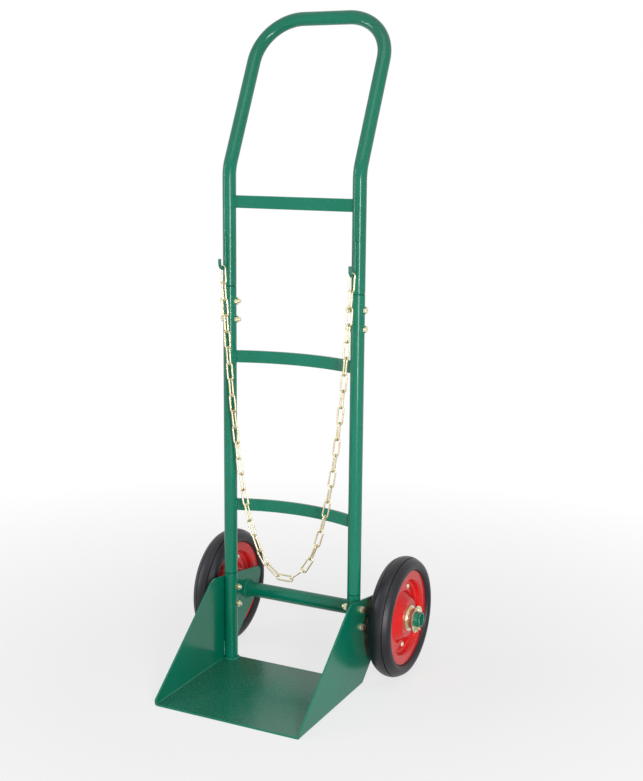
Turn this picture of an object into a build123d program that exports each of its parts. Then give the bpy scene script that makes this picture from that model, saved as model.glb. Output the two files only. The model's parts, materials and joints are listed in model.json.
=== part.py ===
from build123d import *
import math
import os

# Single-cylinder torch cart (hand truck). Millimetres. +X to the cart's side, +Y to its back, +Z up.
# The origin is on the floor, under the middle of the cart's bounding box.
# Lengths called "from the toe" are measured backwards from the toe plate's front edge.

# ---------------------------------------------------------------- driving dimensions
# folded base
TOE_DEPTH = 228.6
BAY_WIDTH = 254.0
SHEET = 3.0
SHEET_BEND = 2.0
CHEEK_NOSE = 10.0
CHEEK_TOP_BEFORE_UPRIGHT = 39.5
CHEEK_TOP_ABOVE_AXLE = 54.4
CHEEK_TOP_ROUND = 26.0
CHEEK_REACH_BEHIND_AXLE = 52.0
CHEEK_REAR_ABOVE_AXLE = 28.4
CHEEK_REAR_ROUND = 14.0
CHEEK_HEEL_BEHIND_AXLE = 24.0
CHEEK_HEEL_BELOW_AXLE = 21.6
CHEEK_HEEL_ROUND = 30.0

# round tube of the frame and handle
TUBE_OD = 22.2
TUBE_WALL = 1.5
INSERT_GAP = 0.2
INSERT_LENGTH = 78.0
INSERT_NECK = 2.0
SOCKET_ABOVE_CHEEK = 2.0
JOINT_ABOVE_SADDLE_BAR = 116.6
KNEE_ABOVE_CROSSBAR = 52.6
KNEE_RADIUS = 60.0
HANDLE_LEAN_DEG = 25.5
HANDLE_RISE_ABOVE_KNEE = 239.0
HANDLE_CORNER_RADIUS = 75.0

# flat crossbars
BAR_HEIGHT = 20.0
BAR_THICKNESS = 5.0
LOWER_BAR_Z = 279.4
BAR_PITCH = 254.0
SADDLE_DEPTH = 26.0

# through-bolts of the two tube joints
BOLT_D = 6.0
BOLT_HOLE_GAP = 0.3
HEAD_ACROSS_FLATS = 10.0
HEAD_HEIGHT = 4.0
NUT_HEIGHT = 5.0
WASHER_OD = 13.0
WASHER_THICKNESS = 1.4
BOLT_TAIL = 4.0
FIRST_BOLT_BELOW_JOINT = 24.0
BOLT_PITCH = 30.0

# axle
AXLE_OD = 25.4
AXLE_WALL = 3.0
AXLE_BEHIND_UPRIGHT = 80.0
AXLE_HOLE_GAP = 0.1
RUNNING_GAP = 0.05
SIDE_PLAY = 0.3
SLEEVE_GAP = 0.2
COLLAR_WALL = 2.6
COLLAR_LENGTH = 9.0
SPACER_WALL = 3.6
SPACER_LENGTH = 4.7
HUB_WASHER_RIM = 5.5
HUB_WASHER_THICKNESS = 2.5
PIN_D = 3.2
PIN_HOLE_GAP = 0.2
PIN_FROM_WASHER = 1.0
PIN_EYE_RADIUS = 2.9
PIN_EYE_WIRE = 2.1
PIN_TAIL_WIRE = 2.2
PIN_TAIL_SPREAD = 7.7
PIN_TAIL_DROP = 3.8
AXLE_BEYOND_PIN = 3.4

# wheels
WHEEL_RADIUS = 101.6
TYRE_WIDTH = 40.0
TYRE_CROWN_HALF_WIDTH = 12.4
TYRE_CROWN_DROP = 3.6
TYRE_WALL_BELOW_CROWN = 12.4
TYRE_STANDS_PROUD = 22.6
TYRE_SEAT_CLEARANCE = 3.2
TYRE_GROOVE_OFFSET = 9.0
TYRE_GROOVE_WIDTH = 1.6
TYRE_GROOVE_DEPTH = 1.2
DISC_SHEET = 2.0
DISC_BEND = 4.0
BAND_FACE_OFFSET = 13.5
WEB_GAP = 0.2
BOSS_FACE_OFFSET = 16.0
# radial widths of a disc's pressed zones, hub to rim; another hub or rim stretches them all alike
BOSS_WIDTH = 13.98
BOSS_SLOPE_WIDTH = 13.0
WEB_WIDTH = 17.0
BAND_STEP = 3.5
BAND_WIDTH = 14.5
HUB_LENGTH = 56.0
HUB_WALL = 2.5
HUB_FLANGE_RIM = 4.7
HUB_FLANGE_THICKNESS = 2.5
BUSH_WALL = 1.75
BUSH_LENGTH = 19.0
PRESS_GAP = 0.02
DISC_FIT_GAP = 0.15
RIVET_COUNT = 5
RIVET_FIRST_DEG = 61.0
RIVET_D = 6.0
RIVET_HEAD_D = 10.0
RIVET_HEAD_HEIGHT = 2.6

# chain and its hooks
HOOK_ROD_D = 5.0
HOOK_BEND_RADIUS = 9.0
HOOK_HEIGHT = 53.0
HOOK_SEAT_ABOVE_JOINT = 30.6
HOOK_TIP_RISE = 7.0
LINK_WIRE = 2.8
LINK_INNER_LENGTH = 26.6
LINK_INNER_WIDTH = 6.4
LINK_GAP = 0.15
LINK_SEAT_GAP = 0.3
LINKS_EACH_SIDE = 20
BOTTOM_LINKS_EACH_SIDE = 3

# weld beads
FOOT_WELD = 3.5
COLLAR_WELD = 2.5
SEAM_WELD_RADIUS = 2.6
SEAM_WELD_LENGTH = 28.0
HOOK_WELD_RADIUS = 1.8
HOOK_WELD_OFFSET = 0.5
HOOK_WELD_LENGTH = 20.0

# ---------------------------------------------------------------- places worked out from them
AXLE_Z = WHEEL_RADIUS
UPRIGHT_FROM_TOE = TOE_DEPTH - TUBE_OD / 2
AXLE_FROM_TOE = UPRIGHT_FROM_TOE + AXLE_BEHIND_UPRIGHT
OVERALL_DEPTH = AXLE_FROM_TOE + WHEEL_RADIUS
TOE_Y = -OVERALL_DEPTH / 2
UPRIGHT_Y = TOE_Y + UPRIGHT_FROM_TOE
AXLE_Y = TOE_Y + AXLE_FROM_TOE
UPRIGHT_X = BAY_WIDTH / 2 - TUBE_OD / 2
CHEEK_INNER_X = BAY_WIDTH / 2
CHEEK_OUTER_X = CHEEK_INNER_X + SHEET
CHEEK_TOP_Z = AXLE_Z + CHEEK_TOP_ABOVE_AXLE
SOCKET_TOP_Z = CHEEK_TOP_Z + SOCKET_ABOVE_CHEEK
TUBE_ID = TUBE_OD - 2 * TUBE_WALL
INSERT_OD = TUBE_ID - 2 * INSERT_GAP
INSERT_ID = INSERT_OD - 2 * TUBE_WALL
SLEEVE_BORE = AXLE_OD + 2 * SLEEVE_GAP
HUB_ID = AXLE_OD + 2 * (RUNNING_GAP + BUSH_WALL + PRESS_GAP)
HUB_OD = HUB_ID + 2 * HUB_WALL
HUB_WASHER_OD = HUB_OD + 2 * HUB_WASHER_RIM
INNER_WASHER_X = CHEEK_OUTER_X + SPACER_LENGTH
HUB_INNER_X = INNER_WASHER_X + HUB_WASHER_THICKNESS + SIDE_PLAY
HUB_END_X = HUB_INNER_X + HUB_LENGTH
WHEEL_X = (HUB_INNER_X + HUB_END_X) / 2
OUTER_WASHER_X = HUB_END_X + SIDE_PLAY
PIN_X = OUTER_WASHER_X + HUB_WASHER_THICKNESS + PIN_FROM_WASHER + PIN_D / 2
AXLE_END_X = PIN_X + PIN_D / 2 + AXLE_BEYOND_PIN
DISC_RADIUS = WHEEL_RADIUS - TYRE_STANDS_PROUD
DISC_ZONES = BOSS_WIDTH + BOSS_SLOPE_WIDTH + WEB_WIDTH + BAND_STEP + BAND_WIDTH
ZONE_STRETCH = (DISC_RADIUS - HUB_OD / 2) / DISC_ZONES
BAND_ROOT_RADIUS = DISC_RADIUS - ZONE_STRETCH * BAND_WIDTH
WEB_OUTER_RADIUS = BAND_ROOT_RADIUS - ZONE_STRETCH * BAND_STEP
WEB_INNER_RADIUS = WEB_OUTER_RADIUS - ZONE_STRETCH * WEB_WIDTH
BOSS_RADIUS = WEB_INNER_RADIUS - ZONE_STRETCH * BOSS_SLOPE_WIDTH
RIVET_CIRCLE_RADIUS = (WEB_INNER_RADIUS + WEB_OUTER_RADIUS) / 2
UPPER_BAR_Z = LOWER_BAR_Z + BAR_PITCH
CROSSBAR_Z = UPPER_BAR_Z + BAR_PITCH
HANDLE_JOINT_Z = UPPER_BAR_Z + JOINT_ABOVE_SADDLE_BAR
KNEE_Z = CROSSBAR_Z + KNEE_ABOVE_CROSSBAR
HANDLE_TOP_Z = KNEE_Z + HANDLE_RISE_ABOVE_KNEE
HOOK_SEAT_Z = HANDLE_JOINT_Z + HOOK_SEAT_ABOVE_JOINT
HOOK_TOP_Z = HOOK_SEAT_Z + HOOK_HEIGHT
HANDLE_BOLT_LEVELS = [HANDLE_JOINT_Z - FIRST_BOLT_BELOW_JOINT - k * BOLT_PITCH for k in range(2)]
BASE_BOLT_LEVELS = [SOCKET_TOP_Z - FIRST_BOLT_BELOW_JOINT - k * BOLT_PITCH for k in range(2)]
SIDES = {"left": -1, "right": 1}


# ---------------------------------------------------------------- helpers
def rod(diameter, start, end):
    """A round bar from one point to another."""
    start, end = Vector(*start), Vector(*end)
    axis = end - start
    return Plane(origin=start, z_dir=axis) * Cylinder(
        diameter / 2, axis.length, align=(Align.CENTER, Align.CENTER, Align.MIN)
    )


def ring_x(outer, inner, x_low, x_high, y=AXLE_Y, z=AXLE_Z):
    """A washer or sleeve whose axis runs along X."""
    body = rod(outer, (x_low, y, z), (x_high, y, z))
    return body - rod(inner, (x_low - 1, y, z), (x_high + 1, y, z))


def tube_z(outer, inner, x, y, z_low, z_high):
    """An upright round tube."""
    body = rod(outer, (x, y, z_low), (x, y, z_high))
    return body - rod(inner, (x, y, z_low - 1), (x, y, z_high + 1))


def bolt_holes(side, levels):
    """The clearance drillings of one side's through-bolts, along X."""
    x_low = side * (UPRIGHT_X - TUBE_OD)
    x_high = side * (CHEEK_OUTER_X + 1)
    hole = BOLT_D + 2 * BOLT_HOLE_GAP
    return [rod(hole, (x_low, UPRIGHT_Y, z), (x_high, UPRIGHT_Y, z)) for z in levels]


def hexagon_x(x_low, x_high, y, z, bore=0.0):
    """A bolt head, or a nut when it has a bore, with its axis along X."""
    plane = Plane(origin=(x_low, y, z), x_dir=(0, 0, 1), z_dir=(1, 0, 0))
    outline = RegularPolygon(HEAD_ACROSS_FLATS / 2, 6, major_radius=False)
    body = extrude(plane * outline, x_high - x_low)
    if bore:
        body -= rod(bore, (x_low - 1, y, z), (x_high + 1, y, z))
    return body


def mirrored(shape):
    """The same piece on the cart's other side."""
    return mirror(shape, about=Plane.YZ)


def on_side(side, shape):
    """A piece made for the right-hand side, put on the side asked for."""
    return shape if side > 0 else mirrored(shape)


def offset_points(points, distance):
    """Corners of a line of straight runs, moved sideways by a distance with mitred corners."""
    moved = []
    for i, (u, v) in enumerate(points):
        normals = []
        for a, b in ((i - 1, i), (i, i + 1)):
            if 0 <= a and b < len(points):
                du, dv = points[b][0] - points[a][0], points[b][1] - points[a][1]
                length = math.hypot(du, dv)
                normals.append((-dv / length, du / length))
        nu, nv = sum(n[0] for n in normals), sum(n[1] for n in normals)
        scale = distance * len(normals) / (nu * nu + nv * nv)
        moved.append((u + nu * scale, v + nv * scale))
    return moved


def turn_sign(a, b, c):
    """+1 where a line of straight runs turns left at its middle point, -1 where it turns right."""
    return math.copysign(1, (b[0] - a[0]) * (c[1] - b[1]) - (b[1] - a[1]) * (c[0] - b[0]))


def pressed_section(points, thickness, bend):
    """The cut face of a pressed sheet whose middle follows the points, with rounded bends."""
    sides = []
    for way in (1, -1):
        corners = offset_points(points, way * thickness / 2)
        radii = [
            bend - way * turn_sign(*points[i - 1 : i + 2]) * thickness / 2
            for i in range(1, len(points) - 1)
        ]
        sides.append(FilletPolyline(*corners, radius=radii))
    first, second = sides
    ends = [Line(first @ 0, second @ 0), Line(first @ 1, second @ 1)]
    return make_face(Wire(first.edges() + second.edges() + ends))


def turned(section):
    """A section drawn as (outward offset, radius), turned about the wheel's axis and put in place."""
    return Pos(WHEEL_X, AXLE_Y, AXLE_Z) * revolve(section, Axis.X)


# ---------------------------------------------------------------- folded base
def cheek_outline():
    """Side view of the folded base: toe, sloping front edge, rounded top and the part round the axle."""
    rear_y = AXLE_Y + CHEEK_REACH_BEHIND_AXLE
    heel_y = AXLE_Y + CHEEK_HEEL_BEHIND_AXLE
    back_y = TOE_Y + TOE_DEPTH
    fold_top = SHEET + SHEET_BEND
    front = (UPRIGHT_Y - CHEEK_TOP_BEFORE_UPRIGHT, CHEEK_TOP_Z)
    edge = FilletPolyline(
        (TOE_Y, CHEEK_NOSE),
        front,
        (rear_y, AXLE_Z + CHEEK_REAR_ABOVE_AXLE),
        (heel_y, AXLE_Z - CHEEK_HEEL_BELOW_AXLE),
        (back_y, fold_top),
        radius=[CHEEK_TOP_ROUND, CHEEK_REAR_ROUND, CHEEK_HEEL_ROUND],
    )
    rest = Polyline((back_y, fold_top), (back_y, 0), (TOE_Y, 0), (TOE_Y, CHEEK_NOSE))
    return make_face(Wire(edge.edges() + rest.edges()))


def make_base():
    """One sheet folded up into a toe plate with a cheek on each side, holed for the axle and bolts."""
    middle_x = CHEEK_INNER_X + SHEET / 2
    over = CHEEK_TOP_Z + 1
    fold = [(-middle_x, over), (-middle_x, SHEET / 2), (middle_x, SHEET / 2), (middle_x, over)]
    channel_face = pressed_section(fold, SHEET, SHEET_BEND + SHEET / 2)
    front_plane = Plane(origin=(0, TOE_Y, 0), x_dir=(1, 0, 0), z_dir=(0, -1, 0))
    channel = extrude(front_plane * channel_face, -OVERALL_DEPTH)
    side_plane = Plane(origin=(-CHEEK_OUTER_X, 0, 0), x_dir=(0, 1, 0), z_dir=(1, 0, 0))
    base = channel & extrude(side_plane * cheek_outline(), 2 * CHEEK_OUTER_X)
    reach = CHEEK_OUTER_X + 1
    base -= rod(AXLE_OD + 2 * AXLE_HOLE_GAP, (-reach, AXLE_Y, AXLE_Z), (reach, AXLE_Y, AXLE_Z))
    for side in SIDES.values():
        base -= bolt_holes(side, BASE_BOLT_LEVELS)
    return base


base_shoe = make_base()


# ---------------------------------------------------------------- frame tubes
def make_socket(side):
    """Base socket: the tube stub inside a cheek, which takes the frame tube's swaged end."""
    tube = tube_z(TUBE_OD, TUBE_ID, side * UPRIGHT_X, UPRIGHT_Y, SHEET, SOCKET_TOP_Z)
    return tube - bolt_holes(side, BASE_BOLT_LEVELS) - base_shoe


def swaged_end(x, joint_z):
    """A tube end necked down below a joint so that it slides into the tube under it."""
    bottom = joint_z - INSERT_LENGTH
    insert = rod(INSERT_OD, (x, UPRIGHT_Y, bottom), (x, UPRIGHT_Y, joint_z))
    neck = Pos(x, UPRIGHT_Y, joint_z) * Cone(
        INSERT_OD / 2, TUBE_OD / 2, INSERT_NECK, align=(Align.CENTER, Align.CENTER, Align.MIN)
    )
    bore = rod(INSERT_ID, (x, UPRIGHT_Y, bottom - 1), (x, UPRIGHT_Y, joint_z + INSERT_NECK))
    return insert + neck - bore


def make_frame_tube(side):
    """Middle tube: swaged at its foot, open at its top for the handle."""
    x = side * UPRIGHT_X
    tube = tube_z(TUBE_OD, TUBE_ID, x, UPRIGHT_Y, SOCKET_TOP_Z + INSERT_NECK, HANDLE_JOINT_Z)
    tube += swaged_end(x, SOCKET_TOP_Z)
    return tube - bolt_holes(side, HANDLE_BOLT_LEVELS) - bolt_holes(side, BASE_BOLT_LEVELS)


def handle_path(start_z):
    """Centre line of the bent handle: up one leg, back at the knee, over the top and down again."""
    top_y = UPRIGHT_Y + (HANDLE_TOP_Z - KNEE_Z) * math.tan(math.radians(HANDLE_LEAN_DEG))
    right_leg = [
        (UPRIGHT_X, UPRIGHT_Y, start_z),
        (UPRIGHT_X, UPRIGHT_Y, KNEE_Z),
        (UPRIGHT_X, top_y, HANDLE_TOP_Z),
    ]
    left_leg = [(-x, y, z) for x, y, z in reversed(right_leg)]
    radii = [KNEE_RADIUS, HANDLE_CORNER_RADIUS, HANDLE_CORNER_RADIUS, KNEE_RADIUS]
    return FilletPolyline(*right_leg, *left_leg, radius=radii)


def make_handle():
    """One tube bent into a U, with both ends swaged to enter the frame tubes."""
    start_z = HANDLE_JOINT_Z + INSERT_NECK
    path = handle_path(start_z)
    foot = Plane(origin=(UPRIGHT_X, UPRIGHT_Y, start_z), z_dir=(0, 0, 1))
    section = foot * (Circle(TUBE_OD / 2) - Circle(TUBE_ID / 2))
    handle = sweep(section, path=path)
    for side in SIDES.values():
        handle += swaged_end(side * UPRIGHT_X, HANDLE_JOINT_Z)
        handle -= bolt_holes(side, HANDLE_BOLT_LEVELS)
    return handle


def cope(bar):
    """The bar with its ends hollowed to sit against both tubes."""
    for side in SIDES.values():
        x = side * UPRIGHT_X
        bar -= rod(TUBE_OD, (x, UPRIGHT_Y, 0), (x, UPRIGHT_Y, KNEE_Z))
    return bar


def make_straight_bar(z):
    """Flat bar between the handle's legs."""
    bar = Pos(0, UPRIGHT_Y, z) * Box(2 * UPRIGHT_X, BAR_THICKNESS, BAR_HEIGHT)
    return cope(bar)


def make_saddle_bar(z):
    """Flat bar bowed backwards to cradle the cylinder."""
    chord = 2 * UPRIGHT_X
    lines = []
    for shift in (-BAR_THICKNESS / 2, BAR_THICKNESS / 2):
        y = UPRIGHT_Y + shift
        lines.append(
            ThreePointArc((-chord / 2, y), (0, y + SADDLE_DEPTH), (chord / 2, y))
        )
    ends = [Line(lines[0] @ k, lines[1] @ k) for k in (0, 1)]
    face = make_face(Wire(lines[0].edges() + lines[1].edges() + ends))
    return cope(extrude(Pos(0, 0, z - BAR_HEIGHT / 2) * face, BAR_HEIGHT))


handle_tube = make_handle()


# ---------------------------------------------------------------- chain hooks
HOOK_ROD_Y = UPRIGHT_Y - TUBE_OD / 2 - HOOK_ROD_D / 2
HOOK_CENTRE_Y = HOOK_ROD_Y - HOOK_BEND_RADIUS
HOOK_CENTRE_Z = HOOK_SEAT_Z + HOOK_BEND_RADIUS


def make_hook(side):
    """J-shaped rod hook on the front of a leg: its bend cups the chain's end link."""
    x = side * UPRIGHT_X
    tip_y = HOOK_CENTRE_Y - HOOK_BEND_RADIUS
    back = Line((x, HOOK_ROD_Y, HOOK_TOP_Z), (x, HOOK_ROD_Y, HOOK_CENTRE_Z))
    bend = ThreePointArc(
        (x, HOOK_ROD_Y, HOOK_CENTRE_Z), (x, HOOK_CENTRE_Y, HOOK_SEAT_Z), (x, tip_y, HOOK_CENTRE_Z)
    )
    tip = Line((x, tip_y, HOOK_CENTRE_Z), (x, tip_y, HOOK_CENTRE_Z + HOOK_TIP_RISE))
    top = Plane(origin=(x, HOOK_ROD_Y, HOOK_TOP_Z), z_dir=(0, 0, -1))
    return sweep(top * Circle(HOOK_ROD_D / 2), path=Wire([back, bend, tip]))


hooks = {name: make_hook(side) for name, side in SIDES.items()}


# ---------------------------------------------------------------- chain
WIRE_LINE_RADIUS = (LINK_INNER_WIDTH + LINK_WIRE) / 2
STRAIGHT_HALF = (LINK_INNER_LENGTH - LINK_INNER_WIDTH) / 2
END_WIRE_REACH = STRAIGHT_HALF + WIRE_LINE_RADIUS
NEST_REACH = WIRE_LINE_RADIUS - LINK_WIRE - LINK_GAP
CHAIN_Y = HOOK_CENTRE_Y
CHAIN_PIVOT_Z = HOOK_SEAT_Z + HOOK_ROD_D / 2 + LINK_SEAT_GAP + LINK_WIRE / 2


def link_is_flat(k):
    """Every second link lies in the plane of the hanging chain, the end links among them."""
    return (LINKS_EACH_SIDE - k) % 2 == 0


def hang(steepness):
    """Centres and slopes of the links from the middle to one hook, for a chain of rigid links.

    Each link is as much steeper than the one below it as its share of the chain's weight makes it:
    the tangent of its slope is its number times the steepness.
    """
    slopes = [math.atan(k * steepness) for k in range(LINKS_EACH_SIDE + 1)]
    along = [(math.cos(a), math.sin(a)) for a in slopes]
    centres = [(0.0, 0.0)]
    for k in range(1, LINKS_EACH_SIDE + 1):
        pull = (slopes[k - 1] + slopes[k]) / 2
        nest = (math.cos(pull), math.sin(pull))
        before, after = END_WIRE_REACH, STRAIGHT_HALF
        if link_is_flat(k - 1):
            before, after = after, before
        centres.append(
            tuple(
                centres[-1][i] + before * along[k - 1][i] + NEST_REACH * nest[i] + after * along[k][i]
                for i in (0, 1)
            )
        )
    end = tuple(centres[-1][i] + END_WIRE_REACH * along[-1][i] for i in (0, 1))
    return centres, slopes, end


def solve_hang():
    """The steepness at which the hanging chain just spans from hook to hook, found by halving."""
    shallow, steep = 0.01, 20.0
    for _ in range(60):
        middle = (shallow + steep) / 2
        if hang(middle)[2][0] > UPRIGHT_X:
            shallow = middle
        else:
            steep = middle
    return hang(middle)


def make_link(x, z, slope, flat):
    """One oval wire link: two straight sides and two half rings, lying along its slope."""
    r = WIRE_LINE_RADIUS
    loop = [
        Line((-STRAIGHT_HALF, -r), (STRAIGHT_HALF, -r)),
        ThreePointArc((STRAIGHT_HALF, -r), (STRAIGHT_HALF + r, 0), (STRAIGHT_HALF, r)),
        Line((STRAIGHT_HALF, r), (-STRAIGHT_HALF, r)),
        ThreePointArc((-STRAIGHT_HALF, r), (-STRAIGHT_HALF - r, 0), (-STRAIGHT_HALF, -r)),
    ]
    section = Plane(origin=(0, -r, 0), z_dir=(1, 0, 0)) * Circle(LINK_WIRE / 2)
    wire = sweep(section, path=Wire(loop))
    lie = Rot(90, 0, 0) if flat else Rot(0, 0, 0)
    return Pos(x, CHAIN_Y, z) * Rot(0, -math.degrees(slope), 0) * lie * wire


def make_chain():
    """All the links of the chain, numbered from the left hook to the right one."""
    centres, slopes, end = solve_hang()
    lowest = CHAIN_PIVOT_Z - end[1]
    links = {}
    for k in range(-LINKS_EACH_SIDE, LINKS_EACH_SIDE + 1):
        way = -1 if k < 0 else 1
        x, z = centres[abs(k)]
        links[k] = make_link(way * x, lowest + z, way * slopes[abs(k)], link_is_flat(abs(k)))
    return links


chain = make_chain()


# ---------------------------------------------------------------- bolts, nuts and washers
def joint_bolt(side, z, seat_x):
    """Hexagon-headed bolt through one tube joint, headed on the cart's outside."""
    nut_face = UPRIGHT_X - TUBE_OD / 2
    tail = nut_face - NUT_HEIGHT - BOLT_TAIL
    bolt = hexagon_x(seat_x, seat_x + HEAD_HEIGHT, UPRIGHT_Y, z)
    bolt += rod(BOLT_D, (tail, UPRIGHT_Y, z), (seat_x, UPRIGHT_Y, z))
    return on_side(side, bolt)


def joint_nut(side, z):
    """Nut on the inner side of one tube joint."""
    face = UPRIGHT_X - TUBE_OD / 2
    nut = hexagon_x(face - NUT_HEIGHT, face, UPRIGHT_Y, z, bore=BOLT_D)
    return on_side(side, nut)


def joint_washer(side, z):
    """Washer between a base bolt's head and the cheek."""
    bore = BOLT_D + 2 * BOLT_HOLE_GAP
    washer = ring_x(WASHER_OD, bore, CHEEK_OUTER_X, CHEEK_OUTER_X + WASHER_THICKNESS, UPRIGHT_Y, z)
    return on_side(side, washer)


def every_bolt(levels, maker, *args):
    """One fastener at each level on each side."""
    return [maker(side, z, *args) for side in SIDES.values() for z in levels]


# ---------------------------------------------------------------- axle and what is on it
def make_axle():
    """Tube through both cheeks and both hubs, cross-drilled near its ends for the split pins."""
    axle = ring_x(AXLE_OD, AXLE_OD - 2 * AXLE_WALL, -AXLE_END_X, AXLE_END_X)
    for side in SIDES.values():
        x = side * PIN_X
        axle -= rod(PIN_D + 2 * PIN_HOLE_GAP, (x, AXLE_Y, AXLE_Z - AXLE_OD), (x, AXLE_Y, AXLE_Z + AXLE_OD))
    return axle


def split_pin(side):
    """Split pin: an eye above the axle, a shank through it and two tails bent apart below it."""
    x = side * PIN_X
    fork_z = AXLE_Z - AXLE_OD / 2 - PIN_D
    eye_z = AXLE_Z + AXLE_OD / 2 + PIN_EYE_RADIUS + PIN_D / 2
    fork = (x, AXLE_Y, fork_z)
    pin = rod(PIN_D, fork, (x, AXLE_Y, eye_z - PIN_EYE_RADIUS))
    pin += Pos(x, AXLE_Y, eye_z) * Rot(0, 90, 0) * Torus(PIN_EYE_RADIUS, PIN_EYE_WIRE / 2)
    pin += Pos(*fork) * Sphere(PIN_D / 2)
    for way in (-1, 1):
        pin += rod(PIN_TAIL_WIRE, fork, (x, AXLE_Y + way * PIN_TAIL_SPREAD, fork_z - PIN_TAIL_DROP))
    return pin


def collar(side):
    """Collar welded to a cheek's inner face, round the axle."""
    outer = SLEEVE_BORE + 2 * COLLAR_WALL
    return on_side(side, ring_x(outer, SLEEVE_BORE, CHEEK_INNER_X - COLLAR_LENGTH, CHEEK_INNER_X))


def spacer(side):
    """Sleeve on the axle that holds the wheel clear of the cheek."""
    outer = SLEEVE_BORE + 2 * SPACER_WALL
    return on_side(side, ring_x(outer, SLEEVE_BORE, CHEEK_OUTER_X, INNER_WASHER_X))


def inner_washer(side):
    """Plain washer between the spacer and the hub."""
    end = INNER_WASHER_X + HUB_WASHER_THICKNESS
    return on_side(side, ring_x(HUB_WASHER_OD, SLEEVE_BORE, INNER_WASHER_X, end))


def outer_washer(side):
    """Large plain washer between the hub and the split pin."""
    end = OUTER_WASHER_X + HUB_WASHER_THICKNESS
    return on_side(side, ring_x(HUB_WASHER_OD, SLEEVE_BORE, OUTER_WASHER_X, end))


axle_tube = make_axle()


# ---------------------------------------------------------------- wheels
def make_tyre():
    """Solid rubber tyre with a round crown, two tread grooves and a square base between the discs."""
    half = TYRE_WIDTH / 2
    crown = TYRE_CROWN_HALF_WIDTH
    base = BAND_FACE_OFFSET - DISC_SHEET - DISC_FIT_GAP
    seat = BAND_ROOT_RADIUS + TYRE_SEAT_CLEARANCE
    lip = DISC_RADIUS + DISC_FIT_GAP
    wall = WHEEL_RADIUS - TYRE_WALL_BELOW_CROWN
    shoulder = WHEEL_RADIUS - TYRE_CROWN_DROP
    profile = [
        Line((-base, lip), (-base, seat)),
        Line((-base, seat), (base, seat)),
        Line((base, seat), (base, lip)),
        Spline((base, lip), (half, wall), (crown, shoulder), tangents=[(1, 0.1), (-1, 0.5)]),
        ThreePointArc((crown, shoulder), (0, WHEEL_RADIUS), (-crown, shoulder)),
        Spline((-crown, shoulder), (-half, wall), (-base, lip), tangents=[(-1, -0.5), (1, -0.1)]),
    ]
    tyre = revolve(make_face(Wire(profile)), Axis.X)
    drop = TYRE_CROWN_DROP * (TYRE_GROOVE_OFFSET / crown) ** 2
    floor = WHEEL_RADIUS - drop - TYRE_GROOVE_DEPTH
    for way in (-1, 1):
        near = way * TYRE_GROOVE_OFFSET - TYRE_GROOVE_WIDTH / 2
        far = near + TYRE_GROOVE_WIDTH
        cutter = rod(2 * WHEEL_RADIUS + 2, (near, 0, 0), (far, 0, 0))
        tyre -= cutter - rod(2 * floor, (near, 0, 0), (far, 0, 0))
    return Pos(WHEEL_X, AXLE_Y, AXLE_Z) * tyre


def rivet_places():
    """Centres of the rivets round the axle, as (y, z)."""
    angles = [math.radians(RIVET_FIRST_DEG + k * 360 / RIVET_COUNT) for k in range(RIVET_COUNT)]
    return [
        (AXLE_Y + RIVET_CIRCLE_RADIUS * math.cos(a), AXLE_Z + RIVET_CIRCLE_RADIUS * math.sin(a))
        for a in angles
    ]


def make_disc(way):
    """Pressed disc: boss at the hub, flat web with the rivets, and a raised band beside the tyre."""
    mid = DISC_SHEET / 2
    web = way * (WEB_GAP / 2 + mid)
    boss = way * (BOSS_FACE_OFFSET - mid)
    band = way * (BAND_FACE_OFFSET - mid)
    points = [
        (boss, HUB_OD / 2 + DISC_FIT_GAP),
        (boss, BOSS_RADIUS),
        (web, WEB_INNER_RADIUS),
        (web, WEB_OUTER_RADIUS),
        (band, BAND_ROOT_RADIUS),
        (band, DISC_RADIUS),
    ]
    disc = turned(pressed_section(points, DISC_SHEET, DISC_BEND))
    hole = RIVET_D + 2 * DISC_FIT_GAP
    for y, z in rivet_places():
        disc -= rod(hole, (WHEEL_X - HUB_LENGTH, y, z), (WHEEL_X + HUB_LENGTH, y, z))
    return disc


def make_rivets():
    """Domed rivets that hold the two discs together, each turned about its own axis."""
    face = WEB_GAP / 2 + DISC_SHEET
    head = RIVET_HEAD_D / 2
    top = face + RIVET_HEAD_HEIGHT
    ball = (head ** 2 + RIVET_HEAD_HEIGHT ** 2) / (2 * RIVET_HEAD_HEIGHT)
    half_turn = math.asin(head / ball) / 2
    mid_x, mid_r = top - ball + ball * math.cos(half_turn), ball * math.sin(half_turn)
    dome = make_face(
        Wire([
            Line((face, 0), (top, 0)),
            ThreePointArc((top, 0), (mid_x, mid_r), (face, head)),
            Line((face, head), (face, 0)),
        ])
    )
    outer_head = revolve(dome, Axis.X)
    shank = rod(RIVET_D, (-face, 0, 0), (face, 0, 0))
    rivet = shank + outer_head + mirrored(outer_head)
    return [Pos(WHEEL_X, y, z) * rivet for y, z in rivet_places()]


def hub_flange(way):
    """Zinc flange ring that backs a disc's boss on the hub."""
    near = WHEEL_X + way * BOSS_FACE_OFFSET
    far = near + way * HUB_FLANGE_THICKNESS
    outer = HUB_OD + 2 * HUB_FLANGE_RIM
    return ring_x(outer, HUB_OD + 2 * PRESS_GAP, min(near, far), max(near, far))


def bush(way):
    """Plain bearing bush in one end of the hub."""
    far = WHEEL_X + way * HUB_LENGTH / 2
    near = far - way * BUSH_LENGTH
    return ring_x(HUB_ID - 2 * PRESS_GAP, AXLE_OD + 2 * RUNNING_GAP, min(near, far), max(near, far))


def wheel_pieces():
    """The pieces of the right-hand wheel; outer means away from the frame."""
    return {
        "tyre": [make_tyre()],
        "disc_outer": [make_disc(1)],
        "disc_inner": [make_disc(-1)],
        "disc_rivets": make_rivets(),
        "hub_tube": [ring_x(HUB_OD, HUB_ID, HUB_INNER_X, HUB_END_X)],
        "hub_flange_outer": [hub_flange(1)],
        "hub_flange_inner": [hub_flange(-1)],
        "hub_bush_outer": [bush(1)],
        "hub_bush_inner": [bush(-1)],
    }


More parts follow.
